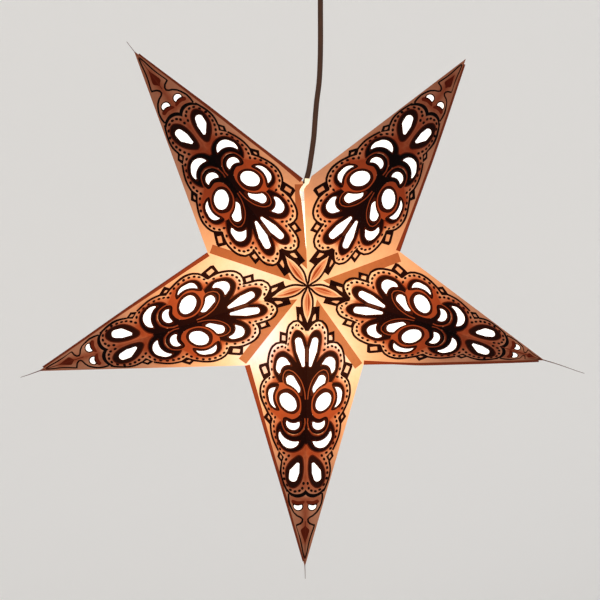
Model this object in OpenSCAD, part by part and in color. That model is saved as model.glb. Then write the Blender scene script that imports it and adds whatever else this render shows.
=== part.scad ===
// Paper star lantern: five folded card points with cut-outs, backed with white lining paper,
// round a lamp that hangs by its flex from a small ceiling fitting. Millimetres, +Z up.
// The origin is on the top face of the ceiling base. The star's front faces -Y.

/* [Star] */
// distance of the star's centre below the ceiling
star_drop = 350; // [300:5:600]
// sideways set of the flex, from the ceiling fitting to the star's centre
star_shift = 18; // [0:1:40]
// from the star's centre to each valley corner
valley_r = 106; // [90:1:130]
// from the middle plane to the front peak, and to the back peak
half_depth = 75; // [55:1:95]
// open length of the upper right point, whose tip is trimmed
open_upper_right = 290; // [260:1:300]
// open length of the upper left point
open_upper_left = 300; // [260:1:305]
// open length of the left point
open_left = 292; // [260:1:305]
// open length of the lower point
open_lower = 299; // [260:1:305]
// open length of the right point, whose end is pinched shut the furthest
open_right = 267; // [255:1:305]
// from the star's centre to a tip that is pinched flat
tip_r = 312; // [306:1:330]
// how far before the open end the pinched ridge begins
pinch_start = 50; // [30:1:70]

/* [Card] */
// thickness of the card
card_t = 0.4; // [0.3:0.05:0.8]
// width of the glue tab behind each seam, seen from the front
tab_w = 9.4; // [6:0.2:14]
// where the tabs begin, from the star's centre
tab_inner_r = 17; // [17:1:30]
// how far short of the valley corner the tabs end
tab_end_gap = 2; // [1:0.5:6]
// width of card that stays doubled beside each fold of a tab
fold_w = 1; // [0.8:0.1:2]
// width of the glued lip along one side of each point, at the valley
lip_w = 2.2; // [1.5:0.1:4]
// width of that lip at the tip
lip_tip_w = 1.1; // [0.8:0.1:2]
// width of the open seam at the top valley
seam_gap_top = 3; // [1:0.1:5]
// width of the open seam at the star's centre
seam_gap_centre = 0.6; // [0.3:0.1:1]
// radius of the notch that the flex comes out of
notch_r = 4.2; // [3.6:0.1:6]
// where the notch begins, from the star's centre
notch_from = 101; // [98:0.5:103]
// sideways place of the notch, towards the upper right point
notch_shift = 2.6; // [0:0.1:4]

/* [Lining] */
// thickness of the white lining paper
lining_t = 0.15; // [0.1:0.01:0.25]
// space between the lining and a seam's glue tab
lining_clear = 1.2; // [0.5:0.1:3]
// where the lining ends, from the star's centre
lining_end = 246; // [242:1:252]

/* [Cut-outs] */
// long petal, round end: place along the point, across it, and radius
petal_head = [56.9, 8.4, 3.4]; // [1:0.1:100]
// long petal, its widest place
petal_middle = [66.5, 6.5, 4.2]; // [1:0.1:100]
// long petal, thin end
petal_tail = [82.6, 3.6, 1.3]; // [1:0.1:100]
// lower moon, outer circle
low_moon_out = [81.3, 24.5, 6.4]; // [1:0.1:100]
// lower moon, second outer circle
low_moon_end = [85.8, 23, 7.7]; // [1:0.1:100]
// lower moon, inner circle
low_moon_in = [91, 17.6, 8.8]; // [1:0.1:100]
// leaf, outer circle
leaf_out = [97.9, 16, 4.4]; // [1:0.1:120]
// leaf, second outer circle
leaf_end = [107.7, 12.4, 6]; // [1:0.1:120]
// leaf, inner circle
leaf_in = [123, 26.1, 21.6]; // [1:0.1:150]
// large oval, the circle at its outer end
oval_out = [119.6, 19.9, 7.3]; // [1:0.1:130]
// large oval, the circle at its inner end
oval_in = [124.5, 16.6, 7]; // [1:0.1:130]
// side moon, outer circle
side_moon_out = [114.6, 31.9, 7.1]; // [1:0.1:130]
// side moon, second outer circle
side_moon_end = [118.3, 26.9, 11.5]; // [1:0.1:130]
// side moon, inner circle
side_moon_in = [118, 13.7, 20.2]; // [1:0.1:130]
// small moon, outer circle
small_moon_out = [144.6, 13.4, 6.7]; // [1:0.1:160]
// small moon, inner circle
small_moon_in = [135.2, 13.5, 9.2]; // [1:0.1:160]
// big moon, outer circle
big_moon_out = [162, 16.4, 9.2]; // [1:0.1:180]
// big moon, second outer circle
big_moon_end = [158.3, 16.9, 10.8]; // [1:0.1:180]
// big moon, inner circle
big_moon_in = [149.3, 12.5, 14.7]; // [1:0.1:180]
// outer drop, round end
drop_head = [203.2, 12.9, 4]; // [1:0.1:220]
// outer drop, its widest place
drop_middle = [197, 11.6, 4.8]; // [1:0.1:220]
// outer drop, thin end
drop_tail = [187.8, 8, 1.6]; // [1:0.1:220]
// tip moon, outer circle
tip_moon_out = [233.2, 7.7, 4.3]; // [1:0.1:250]
// tip moon, inner circle
tip_moon_in = [224.9, 8.8, 8.1]; // [1:0.1:250]

/* [Lamp] */
// diameter of the flex
flex_d = 5.6; // [5:0.1:7]
// radius of the holder cap where the flex enters it
cap_top_r = 5.8; // [5:0.1:8]
// radius of the lamp holder
holder_r = 13.5; // [12:0.5:16]
// height of the cap's straight lower part
cap_skirt = 8; // [4:1:14]
// height of the holder's body
holder_h = 34; // [28:1:42]
// radius of the bulb's screw cap
screw_r = 6.9; // [6.5:0.1:7]
// length of the bulb's screw cap
screw_h = 17; // [14:1:20]
// space round the screw cap in the holder
screw_clear = 0.2; // [0.1:0.05:0.4]
// radius of the bulb's globe
globe_r = 22.5; // [18:0.5:25]
// radius of the bulb's neck
neck_r = 10; // [9:0.5:12]
// height of the bulb's neck
neck_h = 17; // [10:1:24]

/* [Ceiling fitting] */
// inner radius of the cup
cup_in_r = 26; // [22:0.5:40]
// wall of the cup
cup_wall = 2.5; // [1.5:0.5:4]
// height of the cup
cup_h = 26; // [20:1:40]
// thickness of the base's disc
base_t = 2; // [1.5:0.5:4]
// height of the base's collar below its disc
collar_h = 7; // [4:1:12]
// wall of the base's collar
collar_wall = 2; // [1.5:0.5:3]
// distance between the two screw holes in the base
screw_spacing = 30; // [24:1:36]
// radius of a screw hole in the base
screw_hole_r = 2.1; // [1.8:0.1:2.6]
// width, depth and height of the terminal block
block_size = [16, 12, 10]; // [8:1:20]
// radius of the cord grip where it passes through the cup
grip_r = 5; // [4:0.5:8]
// radius of the cord grip's flange
grip_flange_r = 7.5; // [6:0.5:12]
// height of the flange
grip_flange_h = 3; // [2:0.5:5]
// length of the grip below its flange
grip_tail_h = 9; // [5:1:15]
// radius of the grip at its lower end
grip_tail_r = 4; // [3.5:0.1:6]

/* [Hidden] */
$fn = 96;
points = 5;
step = 360 / points;
half_step = step / 2;
first_angle = 54;
valley_u = valley_r * cos(half_step);
valley_w = valley_r * sin(half_step);
star_at = [-star_shift, 0, -star_drop];
through = 2 * half_depth + 4;
fin_bite = 0.8;
lip_start = 3;
lip_end = 6;
// how far a drop's straight sides start inside its circles, so that each side crosses them cleanly
side_inset = 0.06;
// a tab's fold starts this far inside the card and bulges this much further in than the tab
fold_extra = 0.15;
// and it runs this far past the seam, into the tab
fold_past = 0.3;
// the cut-outs are drawn for a point that is open this far
drawn_len = 300;
// narrower points have their outer cut-outs narrowed where they would differ by more than this
narrow_from = 0.095;
open_len = [open_upper_right, open_upper_left, open_left, open_lower, open_right];
folded_len = [open_upper_right, tip_r, tip_r, tip_r, tip_r];
upper_right = 0;
upper_left = 1;

// slope of a point's panels along the point and across it, and how far a panel's inner
// face lies behind its outer face along the point, for a thickness t
function slope_u(len) = half_depth / len;
function slope_w(len) = half_depth * (1 - valley_u / len) / valley_w;
function lean(len) = sqrt(1 + pow(slope_u(len), 2) + pow(slope_w(len), 2));
function set_back(len, t) = t * lean(len) / slope_u(len);
function edge_w(len, u) = valley_w * (len - u) / (len - valley_u);
function narrowing(len, u) = edge_w(len, u) / edge_w(drawn_len, u);

// The flex: points chosen by hand, from inside the holder cap up to the terminal block
flex_route = [[-18, -262], [-18, -256], [-18, -252.5], [-17.5, -249], [-16.2, -244.5], [-14.2, -238],
              [-12.2, -230], [-10.6, -220], [-9.2, -211], [-7.2, -196], [-5.8, -178], [-4.2, -160],
              [-1.6, -140], [-0.4, -118], [0, -96], [0, -74], [0, -52], [0, -32], [0, -12]];
flex_sides = 10;

// where the holder cap's cone meets the inner edges of the top seam
cone_slope = half_depth / valley_r;
seam_skin = card_t * lean(open_upper_right);
function cone_z(r) = valley_r * (1 - (r + seam_skin) / half_depth);
cap_top = cone_z(cap_top_r);
cap_shoulder = cone_z(holder_r);
cap_bottom = cap_shoulder - cap_skirt;
holder_bottom = cap_bottom - holder_h;
screw_top = holder_bottom + screw_h;
neck_bottom = holder_bottom - neck_h;
globe_z = neck_bottom - sqrt(pow(globe_r, 2) - pow(neck_r, 2));
flex_end = flex_route[0][1] + star_drop;
flex_r = flex_d / 2;
cup_floor = 2.5;
grip_top = 6;

// One point lies along X, its width along Y and its depth along Z, before it is put in its place
module place(i) {
    translate(star_at) rotate([90, 0, 0]) rotate([0, 0, first_angle + i * step]) children();
}

// A hollow or solid point of this open length, set back along its own axis
module pyramid(len, back) {
    translate([-back, 0, 0])
        polyhedron(
            points = [[0, 0, half_depth], [0, 0, -half_depth], [valley_u, valley_w, 0],
                      [valley_u, -valley_w, 0], [len, 0, 0]],
            faces = [[0, 2, 4], [0, 4, 3], [1, 4, 2], [1, 3, 4], [0, 1, 2], [0, 3, 1]]);
}

// The layer of a point between two depths behind its outer face
module layer(len, outer, inner) {
    difference() {
        pyramid(len, set_back(len, outer));
        pyramid(len, set_back(len, inner));
    }
}

// Outline of a strip along a point's left seam, with a slanted inner end. It may begin past the seam.
function seam_strip(from, to, width, past) =
    let (along = [cos(half_step), sin(half_step)], inward = [sin(half_step), -cos(half_step)])
    [along * from - inward * past, along * to - inward * past,
     along * to + inward * width, along * (from + width) + inward * width];

// side is 1 for the seam on the point's left, -1 for its right
module strip(side, from, to, width, past) {
    mirror([0, side < 0 ? 1 : 0, 0])
        linear_extrude(height = through, center = true)
            polygon(seam_strip(from, to, width, past));
}

// The open seam: a thin wedge from the centre to the top valley
module seam_wedge() {
    along = [cos(half_step), -sin(half_step)];
    inward = [sin(half_step), cos(half_step)];
    linear_extrude(height = through, center = true)
        polygon([along * -20 - inward, along * 2 * valley_r - inward,
                 along * 2 * valley_r + inward * (2 * seam_gap_top - seam_gap_centre),
                 along * -20 + inward * seam_gap_centre]);
}

// The notch for the flex, at the top valley
module notch(side) {
    rotate([0, 0, side * half_step])
        translate([notch_from, -notch_shift, 0])
            rotate([0, 90, 0]) cylinder(h = valley_r, r = notch_r);
}

module disc(c) {
    translate([c[0], c[1]]) circle(r = c[2]);
}

// The area between two circles, up to their shared tangents
module between(a, b) {
    run = [b[0] - a[0], b[1] - a[1]];
    toward = atan2(run[1], run[0]);
    spread = acos((a[2] - b[2]) / norm(run));
    function rim(c, t) = [c[0] + (c[2] - side_inset) * cos(t), c[1] + (c[2] - side_inset) * sin(t)];
    polygon([rim(a, toward + spread), rim(b, toward + spread),
             rim(b, toward - spread), rim(a, toward - spread)]);
}

// A cut whose outline runs round a row of circles
module drop(circles) {
    for (c = circles) disc(c);
    for (k = [1 : 1 : len(circles) - 1]) between(circles[k - 1], circles[k]);
}

module moon(circles, inner) {
    difference() {
        drop(circles);
        disc(inner);
    }
}

// Narrows a cut-out across the point where the point itself is narrower than drawn
module fitted(len, u) {
    ratio = narrowing(len, u);
    if (abs(1 - ratio) > narrow_from) scale([1, ratio]) children();
    else children();
}

module cut_outs(len) {
    for (side = [0, 1]) mirror([0, side, 0])
        linear_extrude(height = through, center = true) {
            drop([petal_head, petal_middle, petal_tail]);
            moon([low_moon_out, low_moon_end], low_moon_in);
            moon([leaf_out, leaf_end], leaf_in);
            drop([oval_out, oval_in]);
            moon([side_moon_out, side_moon_end], side_moon_in);
            moon([small_moon_out], small_moon_in);
            fitted(len, big_moon_out[0]) moon([big_moon_out, big_moon_end], big_moon_in);
            fitted(len, drop_middle[0]) drop([drop_head, drop_middle, drop_tail]);
            fitted(len, tip_moon_out[0]) moon([tip_moon_out], tip_moon_in);
        }
}

// The pinched end: both sides of the card pressed flat, standing front to back
module fin(len, tip) {
    start = len - pinch_start;
    height = half_depth * pinch_start / len;
    rotate([90, 0, 0])
        linear_extrude(height = 2 * card_t, center = true)
            polygon([[start, height], [tip, 0], [start, -height]]);
}

// The glued lip along the point's right side edge
module lip(len) {
    run = [len - valley_u, valley_w];
    along = run / norm(run);
    outward = [along[1], -along[0]];
    start = [valley_u, -valley_w] + along * lip_start;
    end = [len, 0] - along * lip_end;
    linear_extrude(height = 2 * card_t, center = true)
        polygon([start - outward * fin_bite, end - outward * fin_bite,
                 end + outward * lip_tip_w, start + outward * lip_w]);
}

// The card of one point: four panels, pinched tip, lip, and its tabs
module point(i) {
    len = open_len[i];
    before = (i + points - 1) % points;
    tab_end = valley_r - tab_end_gap;
    color([0.86, 0.55, 0.3])
    place(i) difference() {
        union() {
            difference() {
                union() {
                    pyramid(len, 0);
                    if (folded_len[i] > len) fin(len, folded_len[i]);
                    lip(len);
                }
                pyramid(len, set_back(len, card_t));
                cut_outs(len);
            }
            if (i == upper_left) {
                // its tab isn't glued: it lies folded back behind its own panels
                intersection() {
                    layer(len, card_t - fold_extra, 2 * card_t);
                    strip(-1, tab_inner_r, tab_end, tab_w, 0);
                }
            } else {
                intersection() {
                    layer(len, card_t - fold_extra, 2 * card_t + fold_extra);
                    strip(-1, tab_inner_r + fold_w, tab_end - fold_w, fold_w, 0);
                }
                intersection() {
                    layer(len, card_t + fold_extra, 2 * card_t + fold_extra);
                    strip(-1, tab_inner_r + fold_w, tab_end - fold_w, fold_w / 2, fold_past);
                }
                rotate([0, 0, -step]) intersection() {
                    layer(open_len[before], card_t, 2 * card_t);
                    strip(1, tab_inner_r, tab_end, tab_w, 0);
                }
            }
        }
        if (i == upper_left) {
            seam_wedge();
            notch(-1);
        }
        if (i == upper_right) notch(1);
    }
}

// The white paper inside one point, glued behind its cut-outs
module lining(i) {
    len = open_len[i];
    inset = tab_w + lining_clear;
    start = inset / sin(half_step);
    reach = [cos(half_step), sin(half_step)] * valley_r;
    color([0.97, 0.97, 0.95])
    place(i) intersection() {
        layer(len, card_t, card_t + lining_t);
        linear_extrude(height = through, center = true)
            polygon([[start, 0], [start, 0] + reach, [min(lining_end, len - 12), reach[1]],
                     [min(lining_end, len - 12), -reach[1]], [start + reach[0], -reach[1]]]);
    }
}

// The holder cap: its cone carries the star by the inner edges of the top seam
module holder_cap() {
    color([0.93, 0.92, 0.88])
    translate(star_at) difference() {
        rotate_extrude()
            polygon([[0, cap_bottom], [holder_r, cap_bottom], [holder_r, cap_shoulder],
                     [cap_top_r, cap_top], [0, cap_top]]);
        translate([0, 0, flex_end]) cylinder(h = 40, r = flex_r);
    }
}

module holder_body() {
    rim = 1.5;
    color([0.93, 0.92, 0.88])
    translate(star_at) difference() {
        rotate_extrude()
            polygon([[0, holder_bottom], [holder_r - rim, holder_bottom],
                     [holder_r, holder_bottom + rim], [holder_r, cap_bottom], [0, cap_bottom]]);
        translate([0, 0, holder_bottom - 1]) cylinder(h = screw_h + 1, r = screw_r + screw_clear);
    }
}

// The bulb, one sealed piece: screw cap, neck and globe
module bulb() {
    flare = 2;
    color([1, 0.96, 0.85])
    translate(star_at) {
        rotate_extrude()
            polygon([[0, screw_top], [screw_r - 2, screw_top], [screw_r, screw_top - 2],
                     [screw_r, holder_bottom - flare], [neck_r, holder_bottom - 2 * flare],
                     [neck_r, neck_bottom], [0, neck_bottom - neck_r]]);
        translate([0, 0, globe_z]) sphere(r = globe_r);
    }
}

// One ring of the flex at a route point, square to the way it runs there
function ring(k) =
    let (last = len(flex_route) - 1,
         a = flex_route[max(k - 1, 0)], b = flex_route[min(k + 1, last)],
         run = (b - a) / norm(b - a), at = flex_route[k])
    [for (s = [0 : flex_sides - 1])
        let (c = flex_r * cos(s * 360 / flex_sides), d = flex_r * sin(s * 360 / flex_sides))
        [at[0] + c * run[1], d, at[1] - c * run[0]]];

module flex() {
    rings = len(flex_route);
    rim_points = [for (k = [0 : rings - 1]) each ring(k)];
    walls = [for (k = [0 : rings - 2], s = [0 : flex_sides - 1])
        let (n = (s + 1) % flex_sides, low = k * flex_sides, high = low + flex_sides)
        [low + s, high + s, high + n, low + n]];
    bottom = [for (s = [0 : flex_sides - 1]) s];
    top = [for (s = [flex_sides - 1 : -1 : 0]) (rings - 1) * flex_sides + s];
    color([0.2, 0.1, 0.06]) polyhedron(points = rim_points, faces = concat(walls, [bottom, top]));
}

// The cord grip, which holds the flex where it enters the cup
module cord_grip() {
    flange_top = -cup_h;
    flange_bottom = flange_top - grip_flange_h;
    color([0.93, 0.92, 0.88]) difference() {
        rotate_extrude()
            polygon([[0, flange_bottom - grip_tail_h], [grip_tail_r, flange_bottom - grip_tail_h],
                     [grip_r, flange_bottom], [grip_flange_r, flange_bottom],
                     [grip_flange_r, flange_top], [grip_r, flange_top],
                     [grip_r, flange_top + grip_top], [0, flange_top + grip_top]]);
        translate([0, 0, -2 * cup_h]) cylinder(h = 2 * cup_h, r = flex_r);
    }
}

module ceiling_cup() {
    edge = 3;
    outer = cup_in_r + cup_wall;
    color([0.93, 0.92, 0.88]) difference() {
        rotate_extrude()
            polygon([[0, -cup_h], [outer - edge, -cup_h], [outer, -cup_h + edge], [outer, 0], [0, 0]]);
        translate([0, 0, cup_floor - cup_h]) cylinder(h = cup_h, r = cup_in_r);
        translate([0, 0, -cup_h - 1]) cylinder(h = cup_h, r = grip_r);
    }
}

// The base is screwed to the ceiling, and the cup pushes on over its collar
module ceiling_base() {
    color([0.9, 0.9, 0.86]) difference() {
        translate([0, 0, -base_t - collar_h]) cylinder(h = base_t + collar_h, r = cup_in_r);
        translate([0, 0, -base_t - collar_h - 1])
            cylinder(h = collar_h + 1, r = cup_in_r - collar_wall);
        for (side = [-1, 1]) translate([side * screw_spacing / 2, 0, -base_t - 1])
            cylinder(h = base_t + 2, r = screw_hole_r);
    }
}

module terminal_block() {
    color([0.95, 0.95, 0.95])
    translate([-block_size[0] / 2, -block_size[1] / 2, -base_t - block_size[2]]) cube(block_size);
}

point(0);  // point_upper_right
point(1);  // point_upper_left
point(2);  // point_left
point(3);  // point_lower
point(4);  // point_right
lining(0);  // lining_upper_right
lining(1);  // lining_upper_left
lining(2);  // lining_left
lining(3);  // lining_lower
lining(4);  // lining_right
holder_cap();
holder_body();
bulb();
flex();
cord_grip();
ceiling_cup();
ceiling_base();
terminal_block();
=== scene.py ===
import bpy
import math
import random
from mathutils import Matrix, Vector, geometry


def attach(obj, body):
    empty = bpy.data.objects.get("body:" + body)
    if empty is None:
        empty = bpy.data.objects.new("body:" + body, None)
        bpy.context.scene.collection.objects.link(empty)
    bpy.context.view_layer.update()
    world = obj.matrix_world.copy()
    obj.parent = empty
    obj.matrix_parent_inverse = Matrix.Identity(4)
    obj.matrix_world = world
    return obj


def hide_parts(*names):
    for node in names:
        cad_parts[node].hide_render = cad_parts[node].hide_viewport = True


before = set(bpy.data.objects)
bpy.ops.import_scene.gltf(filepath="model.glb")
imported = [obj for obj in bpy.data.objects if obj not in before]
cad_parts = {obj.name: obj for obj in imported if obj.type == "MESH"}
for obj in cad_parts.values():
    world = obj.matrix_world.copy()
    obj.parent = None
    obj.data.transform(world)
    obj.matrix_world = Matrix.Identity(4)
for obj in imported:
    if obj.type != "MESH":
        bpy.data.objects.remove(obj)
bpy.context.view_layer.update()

millimetre = 0.001
tolerance = 1e-3  # spots of the drawing that are this near to each other are one

# The star as it is folded. Lengths in millimetres until a mesh is written.
star = {
    "centre": (-18, 0, -350),
    "valleyRadius": 106,
    "halfDepth": 75,
    "firstAngle": 54,
    "tipRadius": 312,
    "pinchStart": 50,
    "drawnLength": 300,  # the ornament is drawn for a point that is open this far
    "squeezeFrom": 240,  # shorter points have the ornament squeezed beyond this
    "cardThickness": 0.4,
    "tabWidth": 9.4,
    "tabFrom": 17,
    "tabTo": 104,
    # the seam that isn't glued: distance out from the centre, width
    "openGap": [(36, 0), (48, 0.7), (60, 1.2), (74, 2), (82, 2.6), (88, 3), (94, 4.1), (98, 4.2), (101, 2.6),
                (104.5, 0.1)],
    # the flex goes in here: distance out along the seam, and in from it
    "flexNotch": [(98.7, 0), (112, 0), (112, 8), (109.9, 7.1), (105, 5), (102.1, 2)],
}
# lip: distance along the side edge, how far the doubled card and the painted shade of its fold reach in from
# it, and how far out
starPoints = [
    {"name": "upper_right", "open": 290, "pinched": False, "tabSide": 0, "borderIn": 1.05,
     "lip": [(0, 4.9, 0.3), (30, 3.2, 0.4), (60, 1.8, 1.2), (100, 0.5, 2.2), (210, 0.3, 1.6)]},
    {"name": "upper_left", "open": 300, "pinched": True, "tabSide": 1, "borderIn": 0.25,
     "lip": [(0, 2.8, 2.4), (30, 1, 2.6), (60, 0.6, 2.5), (120, 0.5, 2.6), (210, 0.3, 1.4)]},
    {"name": "left", "open": 292, "pinched": True, "tabSide": 1, "borderIn": 0.9,
     "lip": [(0, 4.2, 0.4), (30, 3.1, 0.9), (60, 2.5, 1.3), (120, 1.2, 1.4), (210, 0.5, 1.6)]},
    {"name": "lower", "open": 299, "pinched": True, "tabSide": 1, "borderIn": 1.15,
     "lip": [(0, 5.2, 0.3), (30, 4.5, 0.3), (60, 3.6, 0.3), (120, 2.8, 0.3), (210, 1.4, 0.6)]},
    {"name": "right", "open": 267, "pinched": True, "tabSide": 1, "borderIn": 0.9,
     "lip": [(0, 4.6, 0.3), (30, 2.0, 0.5), (60, 0.4, 2.4), (120, 0.4, 2.6), (210, 0.3, 1.2)]},
]
halfStep = math.radians(36)
valleyAlong = star["valleyRadius"] * math.cos(halfStep)
valleyAcross = star["valleyRadius"] * math.sin(halfStep)


# camera, stage and lights

view = {"place": (-0.12875, -2.2, -0.26677), "pan": 2.771, "tilt": -2.616, "roll": -0.179, "field": 16.245,
        "reach": 20}
stage = {"floorHeight": -0.93, "wallDistance": 1.5, "frontEdge": -3.2, "halfWidth": 3.5, "wallTop": 2.4,
         "bend": 0.6, "bendSteps": 16, "colour": (0.93, 0.915, 0.89), "rough": 0.9}
lamps = {  # place, size, power, colour
    "keyLamp": ((-1.4, -1.6, 0.9), 1.4, 14.0, (1.0, 0.97, 0.93)),
    "fillLamp": ((1.6, -1.3, 0.3), 1.6, 9.0, (0.95, 0.97, 1.0)),
    "frontLamp": ((0.1, -2.4, -0.7), 1.8, 9.0, (1.0, 0.98, 0.95)),
}
room = {"Color": (0.96, 0.96, 0.97), "Strength": 0.55}


def addObject(name, data):
    found = bpy.data.objects.new(name, data)
    bpy.context.scene.collection.objects.link(found)
    return found


def addMesh(name, verts, faces):
    mesh = bpy.data.meshes.new(name)
    mesh.from_pydata(verts, [], faces)
    return addObject(name, mesh)


def makeCamera():
    data = bpy.data.cameras.new("photoView")
    data.angle = math.radians(view["field"])
    data.clip_end = view["reach"]
    camera = addObject("photoView", data)
    turn = (Matrix.Rotation(math.radians(-view["pan"]), 4, "Z")
            @ Matrix.Rotation(math.radians(90 + view["tilt"]), 4, "X")
            @ Matrix.Rotation(math.radians(view["roll"]), 4, "Z"))
    camera.matrix_world = Matrix.Translation(view["place"]) @ turn
    bpy.context.scene.camera = camera


def newMaterial(name):
    material = bpy.data.materials.new(name)
    material.use_nodes = True
    tree = material.node_tree
    tree.nodes.clear()
    output = tree.nodes.new("ShaderNodeOutputMaterial")
    shader = tree.nodes.new("ShaderNodeBsdfPrincipled")
    tree.links.new(shader.outputs["BSDF"], output.inputs["Surface"])
    return material, tree, shader


def feed(tree, node, values):
    # each value is a socket to link to, a colour, or a plain value
    for key, given in values.items():
        socket = node.inputs[key]
        if isinstance(given, bpy.types.NodeSocket):
            tree.links.new(given, socket)
        elif socket.type == "RGBA":
            socket.default_value = (*given, 1)
        else:
            socket.default_value = given


def addNode(tree, kind, values=None, **settings):
    node = tree.nodes.new(kind)
    for key, value in settings.items():
        setattr(node, key, value)
    feed(tree, node, values or {})
    return node


def mixColours(tree, kind, factor, first, second):
    return addNode(tree, "ShaderNodeMix", {0: factor, 6: first, 7: second}, data_type="RGBA",
                   blend_type=kind).outputs[2]


def makeStage():
    profile = [(stage["frontEdge"], stage["floorHeight"])]
    corner = (stage["wallDistance"] - stage["bend"], stage["floorHeight"] + stage["bend"])
    for k in range(stage["bendSteps"] + 1):
        a = math.radians(-90 + 90 * k / stage["bendSteps"])
        profile.append((corner[0] + stage["bend"] * math.cos(a), corner[1] + stage["bend"] * math.sin(a)))
    profile.append((stage["wallDistance"], stage["wallTop"]))
    verts = [(side * stage["halfWidth"], y, z) for y, z in profile for side in (-1, 1)]
    faces = [(2 * k, 2 * k + 1, 2 * k + 3, 2 * k + 2) for k in range(len(profile) - 1)]
    floor = addMesh("paleFloor", verts, faces)
    floor.data.shade_smooth()
    material, tree, shader = newMaterial("palePaint")
    feed(tree, shader, {"Base Color": stage["colour"], "Roughness": stage["rough"]})
    # the backdrop isn't there for a camera that stands behind it
    behind = addNode(tree, "ShaderNodeNewGeometry").outputs["Backfacing"]
    clear = addNode(tree, "ShaderNodeBsdfTransparent").outputs["BSDF"]
    mix = addNode(tree, "ShaderNodeMixShader", {0: behind, 1: shader.outputs["BSDF"], 2: clear})
    feed(tree, tree.nodes["Material Output"], {"Surface": mix.outputs["Shader"]})
    floor.data.materials.append(material)


def makeLights():
    middle = millimetre * Vector(star["centre"])
    for name, (place, size, power, colour) in lamps.items():
        data = bpy.data.lights.new(name, "AREA")
        data.shape = "DISK"
        data.size, data.energy, data.color = size, power, colour
        lamp = addObject(name, data)
        lamp.location = place
        lamp.rotation_euler = (middle - Vector(place)).to_track_quat("-Z", "Y").to_euler()
    world = bpy.data.worlds.new("softRoom")
    world.use_nodes = True
    feed(world.node_tree, world.node_tree.nodes["Background"], room)
    bpy.context.scene.world = world


bpy.context.scene.view_settings.view_transform = "Standard"
makeCamera()
makeStage()
makeLights()
print("camera, floor and lights made")


# flex: the same route as in the part's source

flexCord = {
    "route": [(-18, -262), (-18, -256), (-18, -252.5), (-17.5, -249), (-16.2, -244.5), (-14.2, -238),
              (-12.2, -230), (-10.6, -220), (-9.2, -211), (-7.2, -196), (-5.8, -178), (-4.2, -160),
              (-1.6, -140), (-0.4, -118), (0, -96), (0, -74), (0, -52), (0, -32), (0, -12)],
    "parts": 3,
    "diameter": 0.0056,
    "sides": 24,
}


def sweepTube(name, route, radius, sides):
    # rings square to the route, closed with a fan at each end
    path = [Vector((x * millimetre, 0, z * millimetre)) for x, z in route]
    verts, faces = [], []
    last = len(path) - 1
    for k, spot in enumerate(path):
        run = (path[min(k + 1, last)] - path[max(k - 1, 0)]).normalized()
        across = Vector((run.z, 0, -run.x))
        for s in range(sides):
            a = 2 * math.pi * s / sides
            verts.append(spot + radius * (math.cos(a) * across + math.sin(a) * Vector((0, 1, 0))))
    for k in range(last):
        for s in range(sides):
            n = (s + 1) % sides
            faces.append((k * sides + s, k * sides + n, (k + 1) * sides + n, (k + 1) * sides + s))
    faces.append(tuple(range(sides - 1, -1, -1)))
    faces.append(tuple(last * sides + s for s in range(sides)))
    piece = addMesh(name, verts, faces)
    for polygon in piece.data.polygons:
        polygon.use_smooth = len(polygon.vertices) == 4
    return piece, path


def smoothLine(corners, pitch, closed=False, parts=0):
    # a smooth curve through the corners, in steps of about one pitch, or in so many parts between two
    found, last = [], len(corners) - 1
    for k in range(last + closed):
        places = [(k + j) % (last + 1) if closed else min(max(k + j, 0), last) for j in (-1, 0, 1, 2)]
        near = [corners[place] for place in places]
        count = parts or max(1, int(math.dist(near[1], near[2]) / pitch))
        for t in (j / count for j in range(count)):
            found.append(tuple(0.5 * (2 * b + (c - a) * t + (2 * a - 5 * b + 4 * c - d) * t * t
                                      + (3 * b - a - 3 * c + d) * t * t * t) for a, b, c, d in zip(*near)))
    return found if closed else found + [corners[last]]


flexPiece, flexPath = sweepTube("flexTube", smoothLine(flexCord["route"], 0, parts=flexCord["parts"]),
                                flexCord["diameter"] / 2, flexCord["sides"])
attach(flexPiece, "root")
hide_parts("flex")


# shapes of the ornament on one half panel: (along the point, across it)

cutOuts = {
    # a row of circles with one outline round them, and the circle that hollows it into a moon
    "petal": ([(56.9, 8.4, 3.4), (66.5, 6.5, 4.2), (82.6, 3.6, 1.3)], None),
    "lowMoon": ([(81.3, 24.5, 6.4), (85.8, 23, 7.7)], (91, 17.6, 8.8)),
    "leaf": ([(97.9, 16, 4.4), (107.7, 12.4, 6)], (123, 26.1, 21.6)),
    "oval": ([(118.6, 20.6, 6.2), (120.4, 19.4, 7.1), (122, 18.3, 7.5), (123.8, 17.1, 7), (125.4, 16, 6.1)],
             None),
    "sideMoon": ([(114.6, 31.9, 7.1), (118.3, 26.9, 11.5)], (118, 13.7, 20.2)),
    "smallMoon": ([(144.6, 13.4, 6.7)], (135.2, 13.5, 9.2)),
    "bigMoon": ([(162, 16.4, 9.2), (158.3, 16.9, 10.8)], (149.3, 12.5, 14.7)),
    "outerDrop": ([(203.2, 12.9, 4), (197, 11.6, 4.8), (187.8, 8, 1.6)], None),
    "tipMoon": ([(233.2, 7.7, 4.3)], (224.9, 8.8, 8.1)),
}

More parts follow.
